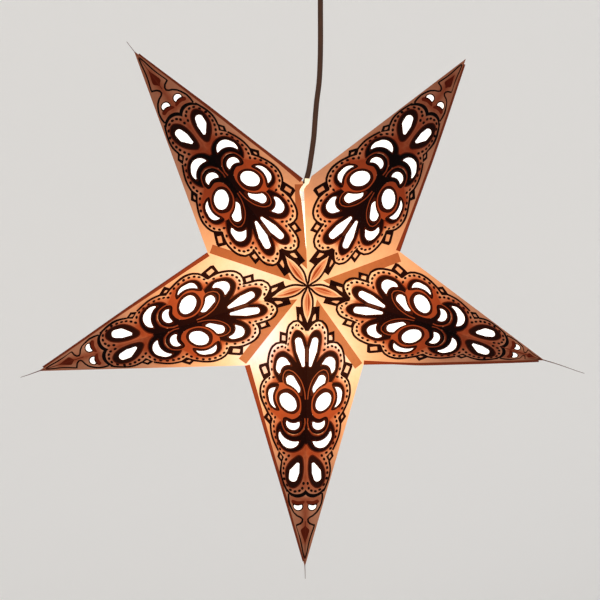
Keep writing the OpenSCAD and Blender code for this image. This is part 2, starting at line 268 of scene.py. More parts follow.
ornament = {
    "pitch": 1.3,  # length of a straight step along an outline
    "grid": 4.5,  # spacing of the points between outlines
    "jitter": 0.6,  # how uneven that is
    "gridMargin": 1.5,
    "edgeParts": 60,  # straight steps along the side edge and the seam
    "seamParts": 24,
    "ridgeStep": 3,
    "rim": 1.4,  # brown rim round a cut-out, where the light bleeds into the ink
    "dotSize": (1.85, 1.4),
    "softEdge": 1.2,  # brown that the light leaves round the heavy black
    "circleStep": 0.4,  # spacing of the points that an outline round circles is found from
    "leastStep": 0.4,  # a last step shorter than this share of a pitch is left out
    "blockGrow": 0.3,  # the squares print a little larger than drawn, and their windows smaller
    "windowGrow": -0.4,
    # the leaf at the centre lies within this, and is printed darker on one side of the fold
    "leafReach": (37, 5),
    "leafFade": (0.3, 0.5),
    "leastReach": 3,  # nothing is shifted where a half panel is narrower than this
    "borderEnd": (0.985, 0.075),  # the shift ends here, and fades over this much before
    # where the border starts and how soon before it the shift begins, as shares of the half panel's
    # width at each distance out, and how far it was shifted in printing, on each side
    "borderPlace": [(20, 0.9, 0.45), (30, 0.62, 0.38), (38, 0.52, 0.3), (60, 0.58, 0.2), (84, 0.64, 0.2),
                    (110, 0.84, 0.2), (300, 0.82, 0.2)],
    "borderShift": {
        1: [(16, 0), (21, -1.6), (30, -1.6), (53, -0.8), (80, -0.3), (110, -1), (126, -0.3), (160, 0.4),
            (300, 0.2)],
        -1: [(16, 0), (21, -3.4), (30, -3.4), (53, -2.6), (80, -2.1), (126, -1.7), (160, -1.1), (300, -0.8)]},
    # ink and rust of all that isn't a fill
    "paint": {"solid": (1, 0), "window": (0, 0.12), "softEdge": (0.7, 1), "line": (0.3, 0.9),
              "rim": (0.85, 1)},
    "heavy": 0.9,  # fills with more ink than this, and some rust, get the soft edge
    # pen strokes: corners of a smooth line, and its width
    "scallops": [
        ([(46, 0.6), (42, 2.8), (39, 5.6), (36.8, 9.2), (36, 13.2), (37, 17.4), (40.6, 21), (46, 22.9),
            (53, 23.2), (60.6, 22.8)], 2.4),
        ([(61.4, 21.6), (59.6, 24.6), (59.4, 29), (60.6, 33.4), (64, 37), (69, 39.4), (75, 40.7), (83, 41.2),
            (90, 39.8), (94.6, 37.8)], 2.4),
        ([(94.4, 38), (98, 43.2), (102.4, 46.6), (107, 48.2), (112.6, 48.6), (118.6, 47.6), (126, 45),
            (132, 42), (136.6, 39.6)], 2.3),
        ([(146, 37.6), (151, 37.3), (157, 36.4), (163, 34.6), (169, 32), (175, 29)], 2.1),
        ([(186.4, 25.2), (192, 26.4), (198, 26.6), (204, 25.5), (210, 23.5), (215, 21.4), (219, 19.4)], 2.1),
        ([(220.6, 18.2), (226, 18.4), (231, 17.6), (236, 15.4), (241, 12.2), (244, 8.4), (245.4, 4.8),
            (247.2, 2.9), (250, 3.1), (252.6, 5.2), (254.4, 8.6), (255.4, 10.4)], 2.0),
        ([(255.6, 9.9), (259, 8.8), (264, 7), (270, 5.1), (277, 3.5), (284, 2.2), (291, 0.4)], 1.5),
    ],
    "blocks": [
        [(21.2, 5), (30, 3.6), (37.4, 2), (38, 6), (36.6, 10), (35.8, 13.7), (21.2, 14), (21.8, 9)],
        [(49.8, 22.6), (60.8, 22.4), (60.2, 30.2), (47.8, 30.2)],
        [(80.8, 40.6), (90, 39), (95, 37.4), (99, 45.6), (95, 47.2), (87.2, 50.2), (84.2, 50)],
        [(133.4, 40.6), (141, 34.8), (148.8, 37.2), (140, 43.9)],
        [(175.2, 28.4), (181.4, 22.4), (187.8, 25.4), (181.6, 30)],
    ],
    "windows": [
        [(28.8, 9.9), (28.8, 8.4), (30.6, 6.3), (34, 5), (36.6, 4.6), (36.2, 6.8), (34.8, 9.8)],
        [(52, 24.2), (57.4, 24.1), (57.2, 28.2), (51.5, 28.2)],
        [(84.8, 43.8), (90, 41.4), (92.2, 41), (94, 45.2), (87, 47.8)],
        [(137.2, 40.2), (139.4, 38.1), (143, 38.4), (140.2, 41)],
        [(178.4, 26.7), (181, 24.5), (184.6, 25.4), (181.7, 28.1)],
    ],
    "dots": [
        (44, 5.2), (40.7, 9.6), (40.6, 14.1), (43.5, 17.7), (48.9, 19.6), (55, 20), (60.9, 19.4), (67, 18.6),
        (64.4, 22.8), (63.7, 27.6), (65.2, 31.6), (68.7, 35), (73.8, 37), (80, 37.6), (88.4, 36.4),
        (96.6, 33.4), (98, 38.6), (102.2, 42.8), (106.9, 44.9), (112.6, 45.6), (118.6, 44.8), (125, 42.6),
        (130.8, 39.6), (135.8, 35.6), (139.4, 31.6), (144, 33.2), (149, 33.8), (154.8, 33.3), (161, 31.8),
        (167.4, 29.4), (173, 26.8), (177, 22.4), (179.6, 17.4), (183.8, 20), (188.7, 22.2), (193.5, 23.3),
        (199, 23.5), (205, 22.8), (211.6, 19.8), (216.4, 15.6), (217.7, 10.8), (216.4, 6.3), (213.4, 3.4),
        (208, 2.2)],
    # closed smooth outlines, painted in this order: name, ink, rust, corners
    "fills": [
        ("petalCollar", 1, 0.4, [(46.2, 9.5), (47.4, 13), (51, 15.1), (57, 15.1), (64, 14.2), (72, 12.5),
            (79, 10.4), (86, 9), (90, -2), (66, -2), (61, 0.2), (56, 1.8), (51.4, 3.6), (48, 6.2)]),
        ("petalRidge", 0.85, 0.6, [(62, -2), (63, 0.6), (72, 1.3), (82, 1.5), (86, 0.9), (87, -2)]),
        ("lowMoonCollar", 1, 0.5, [(85, 6), (79, 11), (73.4, 16), (69.8, 21), (69, 26), (71, 31), (76, 33.9),
            (84, 34.5), (91, 32.8), (97, 29.8), (101.4, 27), (102, 24.6), (98, 23), (93, 20)]),
        ("joint", 1, 0, [(131, 1), (134, 6), (137, 9), (139.5, 15), (141, 10), (140, 3), (141, 0)]),
        ("heart", 1, 0, [(84, -2), (83.6, 6), (81, 10), (84, 17), (88.4, 24), (95, 26.4), (102, 24.4),
            (104, 20), (107, 14.6), (112, 9.6), (118, 6.4), (122, 6.4), (128, 6.2), (134, 6.6), (138, 3),
            (146, 1.8), (155, 3), (160, 8), (161.4, 3), (161.6, -2)]),
        ("leafCollar", 0.86, 1, [(91.6, 19), (91.4, 15), (94, 11), (99, 7.6), (105, 5.2), (111, 4.2),
            (114.6, 4.4), (114.6, 7), (110, 11.6), (106.6, 17), (104.4, 21.4), (99, 22.2), (94, 21.6)]),
        ("ovalRing", 0, 0.92, [(101.6, 23.4), (104.4, 20.4), (107.2, 14.5), (112, 9.3), (118.2, 6),
            (125.8, 5.2), (131.8, 5.8), (136.6, 8.2), (139.4, 12.4), (140.4, 17.6), (139.4, 22.4), (141, 26),
            (136, 31), (131, 36), (127, 33), (118, 33), (108, 31), (103, 29)]),
        ("ovalCollar", 0.92, 1, [(107.6, 20.4), (108.8, 15), (112.8, 10.4), (118.6, 7.3), (125.6, 6.5),
            (131, 8.3), (134.4, 13), (133.6, 19.6), (130, 24.8), (124.4, 28.6), (117, 29.6), (111, 27.4)]),
        ("sideMoonCollar", 1, 0.3, [(103.4, 27.6), (102.8, 32), (104, 36.6), (107.4, 40), (112.6, 41.6),
            (118.6, 41.3), (125, 38.9), (129.6, 35), (132, 30.4), (131.6, 26.8), (128, 28), (123, 30.4),
            (118, 31.6), (112.6, 30.6), (107.6, 28.2)]),
        ("smallMoonInk", 1, 0, [(135.6, 4.4), (139, 8.6), (140, 14), (138, 20.6), (139.6, 23.4), (145, 24),
            (151, 22), (155, 17.4), (156, 12), (154, 7), (150, 3.6), (144, 2), (138.6, 2.4)]),
        ("smallMoonRim", 0.92, 1, [(141, 5), (145.4, 4.6), (150.6, 7), (153.8, 12), (152.8, 17),
            (148.6, 21.4), (143, 22.6), (140, 21.4), (144.4, 13.4)]),
        ("bigMoonInk", 1, 0.2, [(161, -1), (166, 2), (170.4, 4.8), (173.8, 9.6), (175, 15), (174, 20.4),
            (170.6, 25), (165, 28.8), (158, 30.6), (151, 30), (145.6, 27.4), (143.6, 24.6), (150, 23.6),
            (155.6, 20), (158.4, 13.6), (156.6, 6.6), (151, 2), (156, -1)]),
        ("dropCollar", 0.95, 0.8, [(178.6, 7), (180.4, 4.2), (186, 3.2), (194, 3.1), (203, 4.4), (209.4, 7.2),
            (213.2, 11.4), (213.4, 14.8), (211, 18), (206, 20.2), (199, 20.6), (192, 19), (186, 15.6),
            (181.4, 11)]),
        ("tipRust", 0.42, 1, [(227, 1), (230.4, 2.2), (231.8, 5.4), (233, 9), (231.8, 13), (229.6, 15),
            (227, 13.4), (228, 8)]),
        ("crescent", 1, 0, [(215.4, -2.4), (220.2, 0.2), (223.2, 4.2), (224.3, 9), (223.4, 13.4),
            (221.4, 17.2), (217.2, 20.4), (215.8, 19.6), (218.4, 16.4), (220.2, 12.6), (220.4, 8.8),
            (219.2, 4.8), (216.4, 1.4), (212.6, -1.4)]),
        ("node", 1, 0, [(36.4, -1.4), (36.4, 3.6), (39.6, 5.6), (43, 3), (46.8, -0.2), (46, -1.8)]),
        ("lensInk", 1, 0, [(-2, -1), (3, 2.2), (9, 5.3), (15, 6.7), (22, 6.5), (30, 5.1), (36, 3.1),
            (41.4, -1)]),
        ("lensCream", 0, 0, [(2.4, -1), (5.6, 1.1), (10, 3.2), (15, 4.4), (22, 4.3), (29, 3.1), (34, 1.1),
            (37, -1)]),
        ("lensRust", 0, 0.45, [(4.6, -1), (8, 1.3), (12, 2.7), (17, 3.5), (22, 3.3), (28, 2.1), (32, 0.5),
            (35, -1)]),
        ("lensCore", 0.15, 1, [(7, 0.5), (11, 1.6), (16, 2.4), (21, 2), (26, 0.9), (20, 0.4), (12, 0.3)]),
        ("arrow", 0.5, 1, [(254.6, -1), (256.4, 1.8), (259.6, 4.6), (264.4, 3.5), (270, 1.4), (276, -1)]),
    ],
    # thin light lines left in the ink
    "lines": [
        ([(118, 1.2), (110, 2), (104, 3.6), (98, 6), (92.8, 9.8), (89.2, 14), (87.9, 18), (89.2, 21.3),
            (93, 23.3), (98, 23.8), (102, 23)], 1.0),
        ([(138, 1.6), (143, 1.2), (148, 2.3), (152.6, 4.8), (156, 8.8), (157.4, 13.4), (156, 18),
            (152.4, 21.6), (147, 24), (141, 25)], 1.2),
    ],
    # soft rust shading: strength, reach, and the line that it follows
    "shading": [
        (1.0, 4.5, [(101, 30), (103, 24), (105, 21)]),
        (1.0, 5.0, [(131, 35), (135, 29), (138, 24)]),
        (0.95, 5.0, [(163, -1), (170, 1), (176, 5), (177, 12)]),
        (0.7, 4.0, [(180, 0), (190, 0), (202, 0)]),
        (0.4, 4.0, [(203, 0), (212, 0)]),
        (0.45, 4.0, [(176, 20), (170, 28)]),
        (0.8, 3.0, [(54, 0), (60, 0)]),
        (0.6, 3.0, [(47, 14), (52, 16.4), (60, 16.4), (68, 14.6), (77, 12)]),
        (0.5, 2.8, [(68, 18), (67, 25), (70, 32), (76, 35.2), (86, 35.4), (96, 31.6)]),
        (0.6, 3.2, [(101, 32), (103, 38), (108, 42), (116, 42.6), (125, 40.6), (131, 37)]),
        (0.6, 3.6, [(142, 28), (150, 32.2), (160, 32.2), (168, 29)]),
        (0.45, 4.2, [(180, 13), (188, 20), (198, 22.4), (208, 21), (215, 16), (215, 9), (210, 4)]),
        (0.5, 3.6, [(225.6, 2), (226, 9), (226, 15)]),
        (0.55, 4.0, [(228, 0), (240, 0), (252, 0)]),
        (0.5, 4.0, [(256, 0), (272, 0)]),
    ],
}


def circleRun(centre, radius, start, stop, pitch):
    # points of an arc, without its last one
    count = max(3, int(abs(stop - start) * radius / pitch))
    return [(centre[0] + radius * math.cos(start + (stop - start) * k / count),
             centre[1] + radius * math.sin(start + (stop - start) * k / count)) for k in range(count)]


def hullLoop(circles, grow, pitch):
    # the outline round a row of circles, in steps of about one pitch
    step = ornament["circleStep"]
    cloud = sorted(p for x, y, r in circles for p in circleRun((x, y), r + grow, 0, 2 * math.pi, step))
    sides = []
    for run in (cloud, cloud[::-1]):
        side = []
        for p in run:
            while len(side) > 1 and ((side[-1][0] - side[-2][0]) * (p[1] - side[-2][1])
                                     - (side[-1][1] - side[-2][1]) * (p[0] - side[-2][0])) <= 0:
                side.pop()
            side.append(p)
        sides += side[:-1]
    found = [sides[0]]
    for p in sides[1:]:
        parts = int(math.dist(found[-1], p) / pitch)
        last = found[-1]
        found += [tuple(a + (b - a) * (j + 1) / parts for a, b in zip(last, p)) for j in range(parts)]
    if math.dist(found[0], found[-1]) < ornament["leastStep"] * pitch:
        found.pop()
    return found


def cutLoop(name, grow, pitch):
    circles, hollow = cutOuts[name]
    outline = hullLoop(circles, grow, pitch)
    if not hollow:
        return outline
    centre, radius = hollow[:2], hollow[2] - grow
    kept = [math.dist(p, centre) > radius for p in outline]
    first = next(k for k in range(len(kept)) if kept[k] and not kept[k - 1])
    run = []
    while kept[(first + len(run)) % len(kept)]:
        run.append(outline[(first + len(run)) % len(kept)])
    start, stop = (math.atan2(p[1] - centre[1], p[0] - centre[0]) for p in (run[-1], run[0]))
    sweep = (stop - start + math.pi) % (2 * math.pi) - math.pi
    return run + circleRun(centre, radius, start, start + sweep, pitch)


def strokeLoop(corners, width, pitch):
    # outline of a pen stroke along a smooth line
    line = smoothLine(corners, pitch)
    left, right = [], []
    for k, spot in enumerate(line):
        a, b = line[max(k - 1, 0)], line[min(k + 1, len(line) - 1)]
        run = math.dist(a, b)
        off = ((a[1] - b[1]) / run * width / 2, (b[0] - a[0]) / run * width / 2)
        left.append((spot[0] + off[0], spot[1] + off[1]))
        right.append((spot[0] - off[0], spot[1] - off[1]))
    return left + right[::-1]


def dotLoop(spot, lengthways, sides=8):
    a, b = ornament["dotSize"]
    c, s = math.cos(lengthways), math.sin(lengthways)
    found = []
    for k in range(sides):
        t = 2 * math.pi * k / sides
        x, y = a * math.cos(t), b * math.sin(t)
        found.append((spot[0] + c * x - s * y, spot[1] + s * x + c * y))
    return found


def edgeAcross(length, along):
    return valleyAcross * (length - along) / (length - valleyAlong)


def seamSpot(out, inward):
    # a spot this far out along the seam, and this far in from it
    c, w = math.cos(halfStep), math.sin(halfStep)
    return (c * out + w * inward, w * out - c * inward)


def tableValues(table, place):
    # the values at one place of a table whose rows start with their places
    if place <= table[0][0]:
        return table[0][1:]
    for low, high in zip(table, table[1:]):
        if place <= high[0]:
            share = (place - low[0]) / (high[0] - low[0])
            return tuple(a + (b - a) * share for a, b in zip(low[1:], high[1:]))
    return table[-1][1:]


def printShift(spot, side, amount):
    # moves a spot of the border by as much as the print was off there
    along, across = spot
    reach = min(along * math.tan(halfStep), edgeAcross(star["drawnLength"], along))
    if reach < ornament["leastReach"]:
        return spot
    share = across / reach
    full, ramp = tableValues(ornament["borderPlace"], along)
    rise = min(1, max(0, (share - full + ramp) / ramp))
    end, run = ornament["borderEnd"]
    fall = min(1, max(0, (end - share) / run))
    shift = tableValues(ornament["borderShift"][side], along)[0] * amount
    return along, across + shift * rise * rise * (3 - 2 * rise) * fall


def grownLoop(loop, grow):
    # a closed outline moved outwards by this much
    turn = 1 if sum(a[0] * b[1] - b[0] * a[1] for a, b in zip(loop, loop[1:] + loop[:1])) > 0 else -1
    found = []
    for k, spot in enumerate(loop):
        a, b = loop[k - 1], loop[(k + 1) % len(loop)]
        size = turn * grow / math.dist(a, b)
        found.append((spot[0] + (b[1] - a[1]) * size, spot[1] - (b[0] - a[0]) * size))
    return found


def tabStrip():
    # the outline of a glue tab, slanted at its inner end
    start, stop, width = star["tabFrom"], star["tabTo"], star["tabWidth"]
    return [seamSpot(start, 0), seamSpot(stop, 0), seamSpot(stop, width), seamSpot(start + width, width)]


def boxed(loop):
    # a closed outline with the box round it, which is quicker to ask
    across, up = [p[0] for p in loop], [p[1] for p in loop]
    return min(across), min(up), max(across), max(up), loop


def inside(x, y, box):
    left, low, right, high, loop = box
    if not (left <= x <= right and low <= y <= high):
        return False
    found = False
    xj, yj = loop[-1]
    for xi, yi in loop:
        if (yi > y) != (yj > y) and x < (xj - xi) * (y - yi) / (yj - yi) + xi:
            found = not found
        xj, yj = xi, yi
    return found


def nearLine(spot, line):
    # distance from a spot to a line of points
    best = 1e9
    for a, b in zip(line, line[1:]):
        run = (b[0] - a[0], b[1] - a[1])
        size = run[0] ** 2 + run[1] ** 2
        t = max(0, min(1, ((spot[0] - a[0]) * run[0] + (spot[1] - a[1]) * run[1]) / size)) if size else 0
        best = min(best, math.hypot(a[0] + run[0] * t - spot[0], a[1] + run[1] * t - spot[1]))
    return best


def softRust(spot):
    plain = 1
    for strength, reach, line in ornament["shading"]:
        near = nearLine(spot, line) / reach
        if near < 2:
            plain *= 1 - strength * math.exp(-near * near)
    return 1 - plain


def slopeAcross(length):
    return star["halfDepth"] * (1 - valleyAlong / length) / valleyAcross


def surfaceDepth(length, along, across):
    # how far the card's outer face lies in front of the star's middle plane
    return star["halfDepth"] * (1 - along / length) - slopeAcross(length) * across


def wallDrop(length):
    # how far the card's inner face lies below its outer face, straight down
    return star["cardThickness"] * math.sqrt(1 + (star["halfDepth"] / length) ** 2 + slopeAcross(length) ** 2)


def paintedFields():
    # all outlines with their ink and rust, in the order that they are painted in
    pitch = ornament["pitch"]
    fields = []

    def paint(look, loops):
        fields.extend((loop, *ornament["paint"][look]) for loop in loops)

    paint("solid", [strokeLoop(*stroke, 2 * pitch) for stroke in ornament["scallops"]])
    paint("solid", [grownLoop(loop, ornament["blockGrow"]) for loop in ornament["blocks"]])
    paint("window", [grownLoop(loop, ornament["windowGrow"]) for loop in ornament["windows"]])
    dots = ornament["dots"]
    for k, spot in enumerate(dots):
        other = dots[k + 1] if k + 1 < len(dots) else dots[k - 1]
        paint("solid", [dotLoop(spot, math.atan2(other[1] - spot[1], other[0] - spot[0]))])
    filled = [(smoothLine(corners, pitch, True), ink, rust) for name, ink, rust, corners in ornament["fills"]]
    heavy = [loop for loop, ink, rust in filled if ink > ornament["heavy"] and rust]
    paint("softEdge", [grownLoop(loop, ornament["softEdge"]) for loop in heavy])
    fields += filled
    paint("line", [strokeLoop(*stroke, 2 * pitch) for stroke in ornament["lines"]])
    paint("rim", [cutLoop(name, ornament["rim"], 2 * pitch) for name in cutOuts])
    return fields


def drawHalfPanel():
    # one triangulated half panel, shared by all twenty
    length = star["drawnLength"]
    margin = wallDrop(length) / slopeAcross(length)
    parts = ornament["edgeParts"]
    edgeRun = [(valleyAlong + (length - valleyAlong) * k / parts, valleyAcross * (1 - k / parts))
               for k in range(parts + 1)]
    parts = ornament["seamParts"]
    seamRun = [(valleyAlong * k / parts, valleyAcross * k / parts) for k in range(parts)]
    step = ornament["ridgeStep"]
    ridgeRun = [(length - step * k, 0) for k in range(1, int(length / step))]
    fields = paintedFields()
    holes = [cutLoop(name, 0, ornament["pitch"]) for name in cutOuts]
    gap = star["openGap"]
    areas = {
        "tab": tabStrip(),
        "wedge": [seamSpot(r, 0) for r, q in gap] + [seamSpot(r, q) for r, q in gap[:0:-1]],
        "notch": [seamSpot(*spot) for spot in star["flexNotch"]],
    }
    inset = [(p[0], p[1] - margin) for p in edgeRun]

    verts, edges = [], []

    def addRun(run, closed=True):
        base = len(verts)
        verts.extend(Vector(p) for p in run)
        count = len(run)
        edges.extend((base + k, base + (k + 1) % count) for k in range(count if closed else count - 1))

    addRun(seamRun + edgeRun + ridgeRun)
    addRun(inset, False)
    for loop in list(areas.values()) + holes + [field[0] for field in fields]:
        addRun(loop)
    random.seed(7)
    grid, jitter, slope = ornament["grid"], ornament["jitter"], math.tan(halfStep)
    for i in range(int(length / grid)):
        for j in range(int(valleyAcross / grid) + 1):
            x = i * grid + random.uniform(-jitter, jitter)
            y = (j + 0.5 * (i % 2)) * grid + random.uniform(-jitter, jitter)
            if 1 < y < min(edgeAcross(length, x), x * slope) - ornament["gridMargin"]:
                verts.append(Vector((x, y)))
    found = geometry.delaunay_2d_cdt(verts, edges, [], 0, tolerance)
    points = [(v[0], v[1]) for v in found[0]]

    painted = [(boxed(loop), ink, rust) for loop, ink, rust in fields]
    cuts = [boxed(loop) for loop in holes]
    areas = {name: boxed(loop) for name, loop in areas.items()}
    soft = [softRust(p) for p in points]
    leafEnd, leafWidth = ornament["leafReach"]
    triangles = []
    for corners in found[2]:
        a, b, c = (points[k] for k in corners)
        x, y = (a[0] + b[0] + c[0]) / 3, (a[1] + b[1] + c[1]) / 3
        area = (b[0] - a[0]) * (c[1] - a[1]) - (b[1] - a[1]) * (c[0] - a[0])
        if y < 0 or y > x * slope or y > edgeAcross(length, x) or abs(area) < 1e-5:
            continue
        if any(inside(x, y, cut) for cut in cuts):
            continue
        # the last field painted over a spot is the one that shows
        ink, rust = next((field[1:] for field in painted[::-1] if inside(x, y, field[0])), (0, 0))
        corners = corners if area > 0 else corners[::-1]
        triangles.append({
            "corners": corners,
            "ink": ink,
            "rust": [rust] * 3 if ink or rust else [soft[k] for k in corners],
            "backed": y < edgeAcross(length, x) - margin,
            "leaf": x < leafEnd and y < leafWidth and ink < 0.5,
            **{name: inside(x, y, box) for name, box in areas.items()},
        })
    return points, triangles


halfPoints, halfTriangles = drawHalfPanel()
print("ornament drawn,", len(halfTriangles), "triangles in a half panel")


# building the card of a point

def toWorld(index, along, across, depth):
    turn = math.radians(star["firstAngle"] + 72 * index)
    x = along * math.cos(turn) - across * math.sin(turn)
    z = along * math.sin(turn) + across * math.cos(turn)
    centre = star["centre"]
    return ((centre[0] + x) * millimetre, (centre[1] - depth) * millimetre, (centre[2] + z) * millimetre)


def fitted(spot, length):
    # moves a drawn spot to where it lies on a point of this open length
    along, across = spot
    drawn = star["drawnLength"]
    start = star["squeezeFrom"]
    moved = along if along <= start else start + (along - start) * (length - start) / (drawn - start)
    if along > valleyAlong and drawn - along > 1e-6:
        across *= edgeAcross(length, moved) / edgeAcross(drawn, along)
    return moved, across


class cardMesh:
    # gathers corners and faces, and joins corners that fall on one place
    def __init__(self):
        self.places, self.known, self.faces = [], {}, []
        self.ink, self.rust, self.doubled, self.slots = [], [], [], []

    def corner(self, place):
        key = tuple(round(v * 1e7) for v in place)
        if key not in self.known:
            self.known[key] = len(self.places)
            self.places.append(place)
        return self.known[key]

    def face(self, places, ink=0, rust=0, doubled=0, slot=0):
        # the rust print is one value, or one for each corner
        corners = [self.corner(p) for p in places]
        rust = rust if isinstance(rust, list) else [rust] * len(corners)
        kept = [j for j in range(len(corners)) if corners[j] != corners[j - 1]]
        if len(set(corners)) < 3:
            return
        corners, rust = [corners[j] for j in kept], [rust[j] for j in kept]
        self.faces.append(tuple(corners))
        self.ink += [ink] * len(corners)
        self.rust += rust
        self.doubled += [doubled] * len(corners)
        self.slots.append(slot)

    def plate(self, outline, index, low, high, **paint):
        # a flat plate between two depths, its outline in the point's own plane
        self.face([toWorld(index, u, w, high) for u, w in outline], **paint)
        self.face([toWorld(index, u, w, low) for u, w in outline[::-1]], **paint)
        for a, b in zip(outline, outline[1:] + outline[:1]):
            self.face([toWorld(index, *b, high), toWorld(index, *a, high), toWorld(index, *a, low),
                       toWorld(index, *b, low)], **paint)

    def build(self, name, materials):
        piece = addMesh(name, self.places, self.faces)
        mesh = piece.data
        for material in materials:
            mesh.materials.append(material)
        mesh.polygons.foreach_set("material_index", self.slots)
        for label, values in (("ink", self.ink), ("rust", self.rust), ("doubled", self.doubled)):
            mesh.attributes.new(label, "FLOAT", "CORNER").data.foreach_set("value", values)
        mesh.update()
        return piece


cutEdge = {"ink": 0.3, "rust": 0.6, "slot": 1}  # how the edge of a cut through the card looks


def addHalf(card, index, side, front):
    entry = starPoints[index]
    length = entry["open"]
    sink = wallDrop(length)
    outer, inner = [], []
    for spot in halfPoints:
        u, w = fitted(printShift(spot, side, entry["borderIn"] if side < 0 else 1), length)
        depth = surfaceDepth(length, u, w)
        depth = 0 if depth < 1e-4 else depth
        outer.append(toWorld(index, u, side * w, front * depth))
        inner.append(toWorld(index, u, side * w, front * max(0, depth - sink) if depth > sink * 1.02 else 0))
    flipped = side * front < 0
    inkFade, rustFade = ornament["leafFade"]
    used = {}
    for triangle in halfTriangles:
        if entry["name"] == "upper_left" and side < 0 and triangle["wedge"]:
            continue
        if entry["name"] == "upper_right" and side > 0 and triangle["notch"]:
            continue
        order = (0, 2, 1) if flipped else (0, 1, 2)
        corners = [triangle["corners"][k] for k in order]
        rust = [triangle["rust"][k] for k in order]
        hasTab = side == entry["tabSide"] or (entry["name"] == "upper_left" and side < 0)
        doubled = 1 if triangle["tab"] and hasTab else 0
        ink = triangle["ink"]
        if side < 0 and triangle["leaf"]:
            ink, rust = inkFade * ink, [rustFade * value for value in rust]
        card.face([outer[k] for k in corners], ink, rust, doubled)
        if triangle["backed"]:
            card.face([inner[k] for k in corners[::-1]], doubled=doubled, slot=1)
        used.update(dict.fromkeys(zip(corners, corners[1:] + corners[:1])))
    # an edge that only one triangle has is the rim of the card, apart from its folds
    length = star["drawnLength"]
    for a, b in used:
        if (b, a) in used:
            continue
        ends = halfPoints[a], halfPoints[b]
        onRidge = all(abs(p[1]) < tolerance for p in ends)
        onEdge = all(p[0] > valleyAlong - tolerance and abs(p[1] - edgeAcross(length, p[0])) < tolerance
                     for p in ends)
        if not onRidge and not onEdge:
            card.face([outer[b], outer[a], inner[a], inner[b]], **cutEdge)


lip = {
    "steps": 30,
    "start": 0.3,  # where it begins along the edge, and where on the point with the open seam
    "startByGap": 3,
    "beforeTip": 6,
    "bite": 0.8,  # how far the lip reaches into the card
    "stripStart": 0.4,
    "stripRise": 0.06,
    "leastStrip": 0.05,
    "wave": 0.12,
    "waves": 11,
    # painted shade: the lip and its strip get this rust value for the fold's shade; it is not print
    "rust": 0.6,
}


def addLip(card, index):
    # the glued lip along the clockwise side edge, and the strip of card that is doubled by it; both are
    # painted brown as the shade of the fold, over the dimming of the doubled card
    entry = starPoints[index]
    length = entry["open"]
    run = (length - valleyAlong, valleyAcross)
    size = math.hypot(*run)
    along = (run[0] / size, run[1] / size)
    outward = (along[1], -along[0])
    steps = lip["steps"]
    start = lip["startByGap"] if entry["name"] == "upper_left" else lip["start"]
    stop = size - lip["beforeTip"]

    def edgeSpot(k, out):
        t = start + (stop - start) * k / steps
        return valleyAlong + along[0] * t + outward[0] * out, -valleyAcross + along[1] * t + outward[1] * out

    def surfaceSpot(k, out, front):
        u, w = edgeSpot(k, out)
        return toWorld(index, u, w, front * (max(0, surfaceDepth(length, u, -w)) + lip["stripRise"]))

    shadeStripIn, far = [], []
    for k in range(steps + 1):
        inner, outer = tableValues(entry["lip"], start + (stop - start) * k / steps)
        wave = lip["wave"] * math.sin(lip["waves"] * k / steps + index)  # a lip cut and glued by hand
        shadeStripIn.append(-inner + wave)
        far.append(edgeSpot(k, outer + wave))
    thick = star["cardThickness"]
    held = [edgeSpot(k, -lip["bite"]) for k in range(steps + 1)]
    # the lip itself, painted brown as the fold's shade
    card.plate(far + held[::-1], index, -thick, thick, rust=lip["rust"], doubled=1)
    # the strip in from the edge, painted brown as the fold's shade on the doubled card
    rim = -lip["stripStart"]
    for front in (1, -1):
        for k in range(steps):
            strip = [surfaceSpot(k, rim, front), surfaceSpot(k + 1, rim, front),
                     surfaceSpot(k + 1, shadeStripIn[k + 1], front), surfaceSpot(k, shadeStripIn[k], front)]
            if shadeStripIn[k] < rim - lip["leastStrip"]:
                card.face(strip[::front], rust=lip["rust"], doubled=1)


fin = {"steps": 14, "thinning": 0.45, "bend": 0.35, "bendRun": 9, "ink": 0.3, "rust": 0.8}


def addFin(card, index):
    # the pinched end, pressed flat and standing front to back
    length = starPoints[index]["open"]
    start = length - star["pinchStart"]
    height = star["halfDepth"] * star["pinchStart"] / length
    steps = fin["steps"]
    rows = []
    for k in range(steps + 1):
        u = start + (star["tipRadius"] - start) * k / steps
        top = height * (1 - k / steps)
        wide = star["cardThickness"] * (1 - fin["thinning"] * k / steps)
        bend = 0.0 if u < length else fin["bend"] * math.sin((u - length) / fin["bendRun"])
        corners = ((-wide, top), (wide, top), (wide, -top), (-wide, -top))
        rows.append([toWorld(index, u, bend + w, d) for w, d in corners])
    for a, b in zip(rows, rows[1:]):
        for j in range(4):
            n = (j + 1) % 4
            card.face([a[j], a[n], b[n], b[j]], ink=fin["ink"], rust=fin["rust"], doubled=1)
    card.face(rows[0][::-1], doubled=1)


# the tab of the seam that isn't glued: it shines through the gap, and the flex pushes its corner forward
freeTab = {
    "clear": 0.2,  # how far its folded strip keeps from the open seam
    "endIn": 4.5,
    "outline": [(60, 1), (98.5, 1.2), (102, 2.6), (105, 5.4), (109.6, 6.2), (109.9, 0.9), (104.6, 0.9),
                (104.5, -0.2), (103, -1), (101, -2.6), (98, -5), (94, -5), (88, -3.8), (60, -2.6)],
    "back": 2.9,
    "front": 3.3,
}
tabSink = (1.02, 2)  # how deep a tab's two faces lie, counted in card thicknesses


